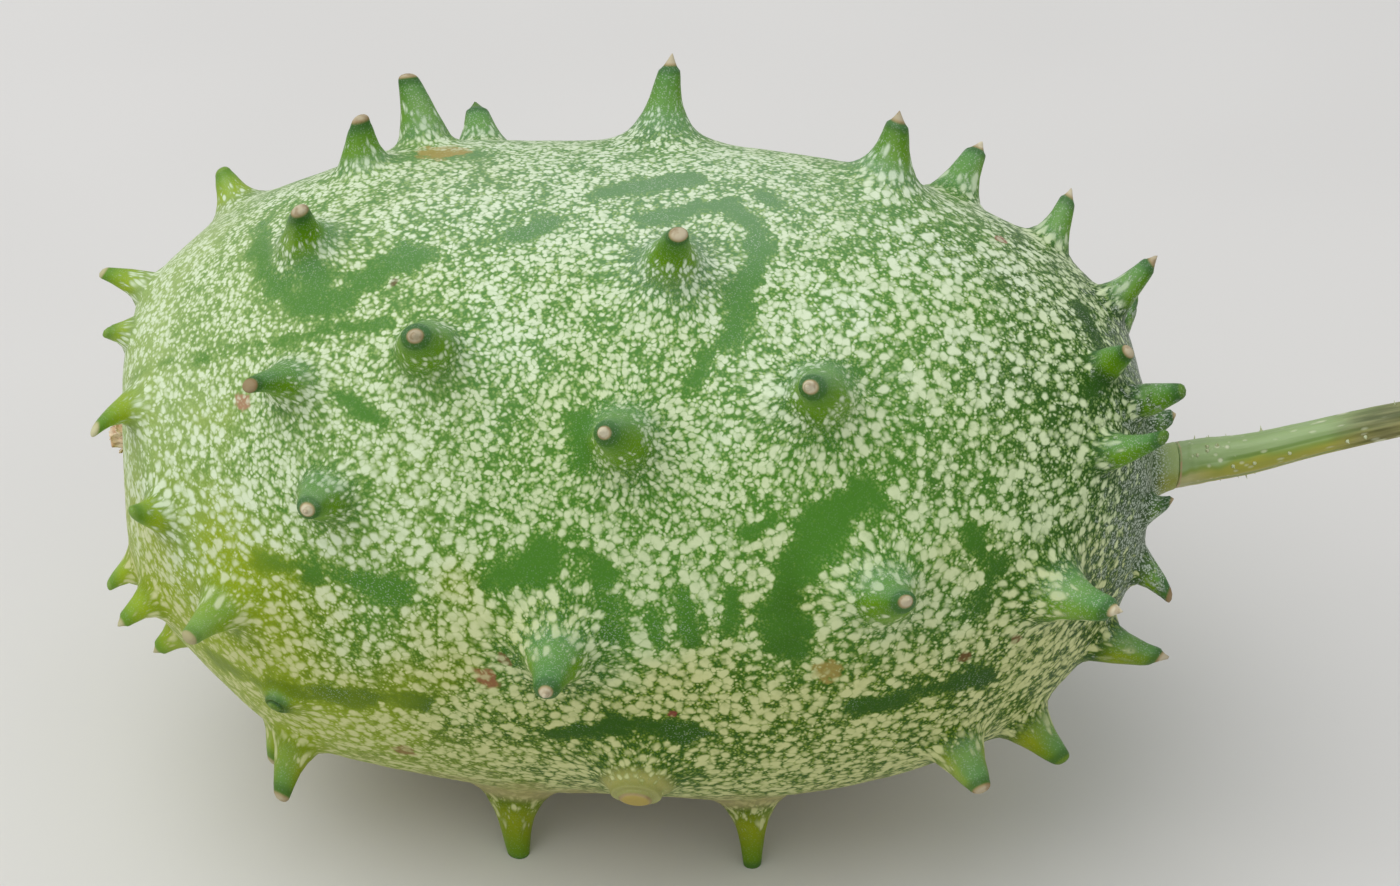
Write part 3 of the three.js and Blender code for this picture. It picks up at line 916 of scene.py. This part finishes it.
def fleckRoom(at):
    # how far the flecks may grow: less where the skin is patchy, on plain bands and up the horns
    gappy = ramp(at.thick, 0.36, 0.56, 0.8, 1.02)
    full = ramp(at.thick, 0.34, 0.56, 0.72, 0.99)
    inputs = {0: ramp(at.level, 0.045, 0.065), 2: gappy, 3: full}
    room = addNode(gappy.id_data, "ShaderNodeMix", inputs).outputs[0]
    for share in (
        calc("SUBTRACT", 1.0, at.bare),
        scaled(at.isRight, -0.09, 1.0),
        scaled(at.isLeft, -0.06, 1.0),
        ramp(at.rise, 0.32, 0.88, 1.0, 0.0),
        scaled(at.stemEnd, -0.8, 1.0),
        scaled(at.near, -0.14, 1.0),
    ):
        room = times(room, share)
    return room


def layFlecks(at, room):
    # flecks and their halos, coarser towards the stalk and low down; also how bright each one is
    coarse = calc("MAXIMUM", ramp(at.across, -0.012, 0.012), ramp(at.level, 0.07, 0.054))
    coarse = calc("MAXIMUM", coarse, ramp(at.across, -0.058, -0.07, 0.0, 0.4))
    grow = {
        "coarse": calc("POWER", coarse, 0.3),
        "fine": scaled(calc("POWER", coarse, 1.5), -0.27, 1.0),
    }
    shake = cloud(at.flow, skinFlecks["shakeScale"], 1.0).node.outputs["Color"]
    offset = vectorMath("SUBTRACT", shake, (0.5, 0.5, 0.5))
    shaken = vectorMath("MULTIPLY_ADD", offset, (skinFlecks["shake"],) * 3, at.flow)
    uneven = parts(offset)
    mask, halo = 0.0, 0.0
    for cells, gain, shift, part, share in skinFlecks["layers"]:
        size = times(room, grow[share])
        size = scaled(size, gain, skinFlecks["smallest"])
        size = scaled(uneven[part], skinFlecks["swing"], size)
        moved = vectorMath("ADD", shaken, (shift,) * 3)
        layer = useGroup(fleckGroup, Place=moved, Cells=cells, Size=size, Edge=skinFlecks["edge"])
        mask = calc("MAXIMUM", layer["Mask"], mask)
        halo = calc("MAXIMUM", layer["Halo"], halo)
    bright = scaled(uneven[2], 0.8, 0.92, clamp=True)
    return mask, halo, times(mask, bright)


def fleckedSkin(at, look, tinyMask):
    room = fleckRoom(at)
    mask, halo, shown = layFlecks(at, room)
    plain, warm = skinGreens(at, look)
    ground = blend(times(halo, 0.8), plain, warm)
    # painted shade: the ground darkens round each horn's foot, where the horn shades the skin
    nearShade = times(at.near, ramp(at.patches, -0.12, 0.12, 0.15, 0.6))
    ground = blend(nearShade, ground, look["footShade"])
    # painted sheen: greyer along the top of the fruit, where the sky lights it
    ground = blend(ramp(at.height, *skinZones["crestSheen"], 0.0, 0.4), ground, look["crestSheen"])
    tinyShare = times(room, 0.62, clamp=True)
    tinyTone = blend(at.isMid, look["tinyLow"], look["tinyFleck"])
    colour = blend(times(tinyMask, tinyShare), ground, tinyTone)
    palest = calc("MAXIMUM", at.isTop, times(at.isLeft, 0.7))
    fleckTone = blend(palest, look["fleckMid"], look["fleckTop"])
    fleckTone = blend(at.isMid, look["fleckLow"], fleckTone)
    return blend(shown, colour, fleckTone), mask


def hornSkin(at, look, colour, fleckMask):
    # yellow-green at a horn's foot, deeper towards its tip, yellower low down and at the flower's end
    yellowed = times(at.lowDown, scaled(at.haze, -0.7, 1.0))
    atEnd = times(at.endSide, 0.9)
    foot = blend(yellowed, look["hornFoot"], look["hornLow"])
    foot = blend(atEnd, foot, look["hornLeft"])
    tip = blend(yellowed, look["hornTop"], look["hornTipLow"])
    tip = blend(atEnd, tip, look["hornTipLeft"])
    base = blend(ramp(at.rise, 0.35, 0.95), foot, tip)
    base = blend(ramp(at.thick, 0.5, 0.7, 0.0, 0.3), base, look["tinyFleck"])
    base = blend(times(at.isWorn, 0.55), base, look["belly"])
    onHorn = times(ramp(at.rise, 0.05, 0.4), calc("SUBTRACT", 1.0, fleckMask))
    return blend(onHorn, colour, base)


def paleDustAndSheen(at, look, colour, tinyMask):
    # a painted sky sheen, with some bloom, on the upward-facing sides of horns; and a fine pale dust of
    # hairs there, on the plain bands and round the stem end
    haze = times(at.haze, at.offEnd)
    # painted sheen on the upward-facing horn sides, with some bloom
    colour = blend(times(haze, 0.32), colour, look["haze"])
    colour = blend(times(at.stemEnd, 0.6), colour, look["stemFuzz"])
    salt = times(tinyMask, times(at.stemEnd, 0.75))
    colour = blend(salt, colour, look["dust"])
    neckLevel = scaled(at.patches, 0.002, at.height)
    neckMiddle = fruitOrigin.z + 4.6 * mm
    neckTop = ramp(neckLevel, neckMiddle - mm, neckMiddle + mm)
    neckTone = blend(neckTop, look["neckLow"], look["neckTop"])
    colour = blend(ramp(at.neckRise, 0.05, 0.75), colour, neckTone)
    dusty = scaled(at.isTop, 0.2, ramp(at.patches, 0.0, 0.12, 0.0, 0.3))
    share = scaled(at.stemEnd, 0.95, scaled(at.bare, dusty, 0.06))
    share = scaled(haze, 0.16, share)
    nearDust = times(at.offEnd, scaled(at.lowDown, -0.2, 0.24))
    share = scaled(at.near, nearDust, share)
    share = times(share, ramp(at.neckRise, 0.35, 0.85, 1.0, 0.1))
    dust = useGroup(fleckGroup, Place=at.place, **skinFlecks["dust"])
    return blend(times(dust["Mask"], share), colour, look["dust"])


def paleBelly(at, look, colour):
    # the underside never saw the sun
    under = scaled(calc("SUBTRACT", at.thick, 0.5), 0.014, at.height)
    share = ramp(under, *skinZones["underside"], 0.0, 0.75)
    share = times(share, ramp(at.rise, 0.2, 0.06))
    return blend(share, colour, look["belly"])


def skinScars(at, colour, fleckMask):
    for along, around, radius, scarTone in skin["scars"]:
        centre = skinPoint(skinDirection(along, around)[None])[0] * mm + np.array(fruitOrigin)
        spot = skinSpot(at, Vector(centre), radius, skin["scarRagged"])
        showing = times(spot, scaled(fleckMask, -0.35, 0.75))
        colour = blend(showing, colour, tone(*scarTone))
    return colour


def corkyCaps(at, look, colour):
    # caps, painted palest in the middle and darker at the edge for a lit dome, with a painted shade ring
    # below them; a rubbed stub shows its flesh
    cover = at.capCover
    # painted shade: a dark ring under each cap's rim
    ring = times(ramp(cover, -1.3, -0.3), ramp(cover, 0.25, -0.05))
    ring = times(ring, scaled(at.isWorn, -0.5, 0.5))
    ring = times(ring, at.offEnd)
    colour = blend(ring, colour, look["ring"])
    # painted highlight and shade: the cap lighter in its middle, darker at its edge
    cap = blend(ramp(cover, 0.05, 0.5), look["capShadedEdge"], look["cap"])
    cap = blend(ramp(at.rough, 0.45, 0.7, 0.0, 0.6), cap, look["capDark"])
    dulled = calc("MAXIMUM", at.hornShade, times(at.lowDown, 0.5))
    cap = blend(dulled, cap, look["capDark"])
    cap = blend(times(at.endSide, 0.6), cap, look["capLeft"])
    fleshy = times(at.isWorn, ramp(cover, 0.12, 0.34))
    cap = blend(fleshy, cap, look["wornFace"])
    onCap = times(ramp(cover, -0.12, 0.22), ramp(at.hornShade, 0.97, 0.9, 0.14, 1.0))
    return blend(onCap, colour, cap), onCap


def makeSkinMaterial():
    material, tree = newMaterial("speckledSkin", {"Specular IOR Level": 0.12})
    look = {name: tone(*colour) for name, colour in skinLook.items()}
    at = skinPlaces(tree)
    tinyMask = useGroup(fleckGroup, Place=at.flow, **skinFlecks["tiny"])["Mask"]
    colour, fleckMask = fleckedSkin(at, look, tinyMask)
    colour = hornSkin(at, look, colour, fleckMask)
    colour = paleDustAndSheen(at, look, colour, tinyMask)
    colour = paleBelly(at, look, colour)
    colour = skinScars(at, colour, fleckMask)
    colour, onCap = corkyCaps(at, look, colour)
    roughness = scaled(fleckMask, 0.1, 0.4)
    roughness = scaled(onCap, 0.35, roughness)
    onCapRelief = times(at.rough, onCap)
    relief = scaled(onCapRelief, 1.0, cloud(at.flow, skinNoise["relief"]))
    return finishMaterial(material, colour, roughness, relief, 0.00009)


makeFruit(makeSkinMaterial())


# the route is x and height from the fruit's middle; the radii are spread evenly along it
stalk = {
    "route": [(64.5, 5.2), (69, 6.3), (76.7, 9.1), (85.4, 12.1), (93, 14.1), (98.5, 15)],
    "radii": (2.74, 2.6, 2.37, 2.06, 1.88, 1.8, 2.05),
    "ridges": 5,
    "grooveDepth": 0.07,
    "grooveTurn": 211,
    "sides": 60,
    "steps": 110,
    "gap": 0.08,
    "dryFrom": 0.55,
    "dryFurrow": 0.055,
    "lump": 0.02,
    "prickles": 34,
    "prickleLength": (0.3, 0.75),
    "prickleSeed": 21,
    "fleckStretch": 0.5,
    "dryStretch": 0.12,
}


def siteTop(site):
    points, _ = raiseSite(site, site["direction"][None], np.array([0.0]))
    return points[0], site["normal"]


def routeCurve(points, share):
    # a smooth curve through the points, and its direction, at a share of its steps from 0 to 1
    at = min(share, 0.999999) * (len(points) - 1)
    part, t = int(at), at - int(at)
    before = points[part - 1] if part else 2 * points[0] - points[1]
    start, end = points[part], points[part + 1]
    after = points[part + 2] if part + 2 < len(points) else 2 * end - start
    startSlope, endSlope = (end - before) / 2, (after - start) / 2
    place = (2 * t**3 - 3 * t * t + 1) * start + (t**3 - 2 * t * t + t) * startSlope
    place = place + (3 * t * t - 2 * t**3) * end + (t**3 - t * t) * endSlope
    heading = (6 * t * t - 6 * t) * start + (3 * t * t - 4 * t + 1) * startSlope
    heading = heading + (6 * t - 6 * t * t) * end + (3 * t * t - 2 * t) * endSlope
    return place, unit(heading)


def stalkFrame(share):
    top, normal = siteTop(sites[-2])
    start = top + normal * stalk["gap"]
    route = np.array([start] + [(x, start[1], z) for x, z in stalk["route"]])
    place, heading = routeCurve(route, share)
    turning = smoothStep(0, 0.13, share)
    heading = unit(normal * (1 - turning) + heading * turning)
    upward = unit(np.cross((0, 1, 0), heading))
    return place, heading, upward, np.cross(heading, upward)


def stalkRadius(share, turn):
    radii = stalk["radii"]
    radius = np.interp(share * (len(radii) - 1), np.arange(len(radii)), radii)
    fromGroove = turn - math.radians(stalk["grooveTurn"])
    groove = stalk["grooveDepth"] * (0.5 + 0.5 * math.cos(stalk["ridges"] * fromGroove)) ** 1.6
    dry = smoothStep(stalk["dryFrom"] - 0.12, stalk["dryFrom"] + 0.12, share)
    furrows = math.sin(14 * turn + 5 * share) + 0.6 * math.sin(23 * turn - 4 * share)
    furrow = stalk["dryFurrow"] * dry * furrows
    lump = stalk["lump"] * wobble(share * 26, math.cos(turn) * 1.4, math.sin(turn) * 1.4)
    return radius * (1 - groove + furrow + lump)


def makeStalk(material):
    rod = roundRod(stalk["sides"], stalk["steps"] - 1)
    cut = [face for face in rod.faces if len(face.verts) > 4 and face.calc_center_median().z > 0]
    bmesh.ops.inset_region(rod, faces=cut, thickness=0.16, depth=0)
    bmesh.ops.inset_region(rod, faces=cut, thickness=0.3, depth=0)
    bmesh.ops.poke(rod, faces=cut)
    mesh = meshFrom(rod, "ridgedStalk")
    raw = readPoints(mesh)
    points, flow, dryness = np.empty_like(raw), np.empty_like(raw), np.empty(len(raw))
    for index, (x, y, z) in enumerate(raw):
        share = min(max(z + 0.5, 0), 1)
        turn = math.atan2(y, x)
        place, heading, upward, sideways = stalkFrame(share)
        radius = stalkRadius(share, turn) * math.hypot(x, y)
        points[index] = place + sideways * radius * math.cos(turn) + upward * radius * math.sin(turn)
        if share > 0.9999:  # the cut end is ragged and a little hollow
            ragged = 0.35 * wobble(x * 3, y * 3, 4)
            points[index] += heading * (ragged - 0.5 * (1 - math.hypot(x, y)))
        flow[index] = (share * 42, radius * math.cos(turn), -radius * math.sin(turn))
        dryness[index] = share
    writePoints(mesh, points * mm + np.array(fruitOrigin))
    writeAttribute(mesh, "flow", flow * mm)
    writeAttribute(mesh, "share", dryness)
    print("stalk:", len(mesh.polygons), "faces")
    return addPiece("ridgedStalk", mesh, material, ["stalk"])


def makePrickles(material):
    # short stiff hairs on swollen feet, mostly along the ridges
    luck = random.Random(stalk["prickleSeed"])
    tuft = bmesh.new()
    for _ in range(stalk["prickles"]):
        share = luck.uniform(0.04, 0.96)
        ridge = 360 * (luck.randrange(stalk["ridges"]) + 0.5) / stalk["ridges"]
        turn = math.radians(stalk["grooveTurn"] + ridge) + luck.gauss(0, 0.22)
        length = luck.uniform(*stalk["prickleLength"])
        place, heading, upward, sideways = stalkFrame(share)
        outward = sideways * math.cos(turn) + upward * math.sin(turn)
        foot = place + outward * (stalkRadius(share, turn) - 0.06)
        way = Vector(unit(outward + heading * luck.uniform(-0.35, 0.35)))
        stand = Vector((0, 0, 1)).rotation_difference(way).to_matrix().to_4x4()
        settle = Matrix.Translation(Vector(foot * mm) + fruitOrigin) @ stand @ Matrix.Scale(mm, 4)
        for radius1, radius2, tall in ((0.27, 0.13, 0.2), (0.13, 0.02, length)):
            stand = settle @ Matrix.Translation((0, 0, tall / 2))
            shape = {"segments": 8, "radius1": radius1, "radius2": radius2, "depth": tall, "matrix": stand}
            bmesh.ops.create_cone(tuft, cap_ends=True, **shape)
    mesh = meshFrom(tuft, "stalkPrickles")
    return addPiece("stalkPrickles", mesh, material, [])


stalkLook = {
    "top": (154, 178, 120),
    "groove": (100, 132, 40),
    "side": (136, 156, 62),
    "low": (168, 164, 52),
    "lowByNeck": (186, 182, 122),
    "dry": (146, 142, 100),
    "dryDark": (74, 74, 46),
    "fleck": (220, 224, 190),
    "ring": (196, 150, 122),
    "cut": (188, 176, 128),
}


def stalkGround(flow, share, look):
    # pale on top, greener at the sides, yellow below, and deeper green in the grooves, most on the lower
    # side: painted shade in the creases
    across, height = parts(flow)[1], parts(flow)[2]
    wavy = times(calc("SUBTRACT", cloud(flow, 160.0), 0.5), 0.002)
    level = calc("ADD", height, wavy)
    low = blend(ramp(share, 0.22, 0.02), look["low"], look["lowByNeck"])
    colour = blend(ramp(level, 0.0014, 0.0008), look["top"], look["side"])
    colour = blend(ramp(level, 0.001, 0.0002), colour, low)
    turn = calc("ARCTAN2", height, across)
    phase = stalk["ridges"] * math.radians(stalk["grooveTurn"])
    valley = calc("COSINE", scaled(turn, float(stalk["ridges"]), phase))
    # painted shade in the grooves, strongest low down
    grooveShade = times(ramp(valley, 0.75, 1.0), ramp(level, 0.002, 0.0012, 0.1, 0.75))
    return blend(times(grooveShade, ramp(share, 0.02, 0.2)), colour, look["groove"])


def makeStalkMaterial():
    inputs = {"Subsurface Weight": 0.1, "Subsurface Radius": (0.8, 1.0, 0.4), "Subsurface Scale": 0.001}
    material, tree = newMaterial("stalkSkin", inputs)
    look = {name: tone(*colour) for name, colour in stalkLook.items()}
    flow, share = attribute(tree, "flow", "Vector"), attribute(tree, "share")
    along = stretched(flow, stalk["fleckStretch"])
    flecks = useGroup(fleckGroup, Place=along, Cells=880.0, Size=0.22, Share=0.18, Edge=0.1)
    small = useGroup(fleckGroup, Place=along, Cells=1700.0, Size=0.3, Share=0.25, Edge=0.14)
    dry = useGroup(dryGroup, Place=stretched(flow, stalk["dryStretch"]), Scale=1100.0)
    colour = blend(times(dry["Streak"], 0.22), stalkGround(flow, share, look), look["groove"])
    patchy = scaled(cloud(flow, 120.0, 3.0), 0.3, share)
    dried = ramp(patchy, stalk["dryFrom"] + 0.09, stalk["dryFrom"] + 0.26)
    dryColour = blend(dry["Streak"], look["dry"], look["dryDark"])
    colour = blend(times(dried, 0.8), colour, dryColour)
    fleckMask = calc("MAXIMUM", flecks["Mask"], times(small["Mask"], 0.6))
    colour = blend(times(fleckMask, 0.7), colour, look["fleck"])
    ring = times(ramp(share, 0.002, 0.006), ramp(share, 0.018, 0.008))
    ring = times(ring, ramp(dry["Streak"], 0.2, 0.8, 0.3, 0.75))
    colour = blend(ring, colour, look["ring"])
    cutColour = blend(dry["Streak"], look["cut"], look["dryDark"])
    colour = blend(ramp(share, 0.9985, 0.9995), colour, cutColour)
    relief = scaled(fleckMask, 0.8, times(dry["Relief"], 0.7))
    return finishMaterial(material, colour, scaled(dried, 0.3, 0.42), relief, 0.00012)


def makePrickleMaterial():
    material, tree = newMaterial("paleHair")
    place = objectPlace(tree)
    streaks = useGroup(dryGroup, Place=place, Scale=2400.0)
    colour = blend(streaks["Streak"], tone(206, 214, 178), tone(168, 176, 118))
    roughness = scaled(streaks["Streak"], 0.2, 0.35)
    return finishMaterial(material, colour, roughness, streaks["Relief"], 0.00003)


makeStalk(makeStalkMaterial())
makePrickles(makePrickleMaterial())


flower = {
    "radius": 2.1,
    "length": 2.4,
    "sides": 48,
    "steps": 14,
    "petals": 6,
    "gap": 0.3,
    "petalLength": (1.8, 3.0),
    "petalWidth": 1.4,
    "petalThickness": 0.16,
    "petalSeed": 8,
    "veinStretch": 0.3,
}


def flowerFrame():
    top, normal = siteTop(sites[-1])
    upward = unit(np.cross((0, 1, 0), normal))
    return top, normal, upward, np.cross(normal, upward)


def makeFlowerCore(material):
    top, normal, upward, sideways = flowerFrame()
    stub = roundRod(flower["sides"], flower["steps"] - 1, cap_tris=True)
    rim = [edge for edge in stub.edges if min(v.co.z for v in edge.verts) > 0.49]
    bmesh.ops.subdivide_edges(stub, edges=rim, cuts=1, use_grid_fill=True)
    for vert in stub.verts:
        x, y, z = vert.co
        share, turn, out = min(max(z + 0.5, 0), 1), math.atan2(y, x), math.hypot(x, y)
        crumple = wobble(3 * math.cos(turn), 3 * math.sin(turn), 2.2 * share)
        width = flower["radius"] * out * (1 - 0.45 * share * share) * (1 + 0.26 * share * crumple)
        width *= 1 + 0.16 * share * math.cos(flower["petals"] * turn)
        outward = flower["gap"] + flower["length"] * share * (1 + 0.15 * share * math.cos(2 * turn + 1))
        outward += 0.3 * share * wobble(4 * x, 4 * y, 9)
        place = top + normal * outward + sideways * width * math.cos(turn) + upward * width * math.sin(turn)
        vert.co = Vector(place * mm) + fruitOrigin
    bmesh.ops.triangulate(stub, faces=stub.faces)
    mesh = meshFrom(stub, "flowerCore")
    return addPiece("flowerCore", mesh, material, ["dried_flower"])


def makePetals(material):
    # withered petals, each a curled sheet that starts on the core
    top, normal, upward, sideways = flowerFrame()
    luck = random.Random(flower["petalSeed"])
    bloom = bmesh.new()
    for petal in range(flower["petals"]):
        turn = 2 * math.pi * (petal + luck.uniform(-0.25, 0.25)) / flower["petals"]
        length = luck.uniform(*flower["petalLength"])
        curl, twist = luck.uniform(0.6, 1.6), luck.uniform(-0.7, 0.7)
        before = set(bloom.verts)
        bmesh.ops.create_grid(bloom, x_segments=14, y_segments=8, size=0.5)
        outward = sideways * math.cos(turn) + upward * math.sin(turn)
        across = np.cross(normal, outward)
        for vert in [vert for vert in bloom.verts if vert not in before]:
            s, w = vert.co.x + 0.5, 2 * vert.co.y
            width = flower["petalWidth"] * (0.35 + 0.65 * math.sin(math.pi * min(s * 0.8 + 0.1, 1))) / 1.4
            bend = curl * s * 1.2
            ahead = length * math.sin(bend) / max(curl * 1.2, 0.1)
            aside = length * (1 - math.cos(bend)) / max(curl * 1.2, 0.1)
            crumple = 0.4 * s * wobble(3 * s, 1.6 * w, petal * 5)
            cup = 0.5 * w * w * s + crumple + twist * w * s * 0.6
            place = top + normal * (0.5 + 0.8 * ahead - 0.3 * cup)
            place = place + outward * (flower["radius"] * 0.78 + 0.5 * aside + cup * 0.6)
            place = place + across * (w * width * (1 + 0.2 * crumple))
            vert.co = Vector(place * mm) + fruitOrigin
    mesh = meshFrom(bloom, "witheredPetals")
    piece = addPiece("witheredPetals", mesh, material, [])
    thicken = piece.modifiers.new("paperThickness", "SOLIDIFY")
    thicken.thickness = flower["petalThickness"] * mm
    thicken.offset = 0
    return piece


def makePetalMaterial():
    material, tree = newMaterial("dryPetal")
    place = objectPlace(tree)
    streaks = useGroup(dryGroup, Place=place, Scale=620.0)
    veins = cloud(stretched(place, flower["veinStretch"]), 2200.0, 3.0)
    colour = blend(streaks["Streak"], tone(236, 216, 184), tone(206, 168, 126))
    colour = blend(ramp(veins, 0.52, 0.66, 0.0, 0.5), colour, tone(122, 88, 56))
    roughness = scaled(streaks["Streak"], 0.15, 0.72)
    return finishMaterial(material, colour, roughness, streaks["Relief"], 0.0001)


petalMaterial = makePetalMaterial()
makeFlowerCore(petalMaterial)
makePetals(petalMaterial)
print("dried flower made")


plaster = {
    "size": 4.0,
    "patchScale": 14.0,
    "tones": ((225, 223, 220), (223, 221, 218)),
}


def makeFloor():
    slab = bmesh.new()
    bmesh.ops.create_grid(slab, x_segments=1, y_segments=1, size=plaster["size"] / 2)
    mesh = meshFrom(slab, "paleFloor")
    floor = bpy.data.objects.new("paleFloor", mesh)
    bpy.context.scene.collection.objects.link(floor)
    material, tree = newMaterial("palePlaster", {"Roughness": 0.85})
    patches = cloud(objectPlace(tree), plaster["patchScale"], 1.0)
    first, second = plaster["tones"]
    colour = blend(ramp(patches, 0.35, 0.65), tone(*first), tone(*second))
    tree.links.new(colour, tree.nodes["Principled BSDF"].inputs["Base Color"])
    mesh.materials.append(material)


makeFloor()
addLights()
print("floor and lights made")
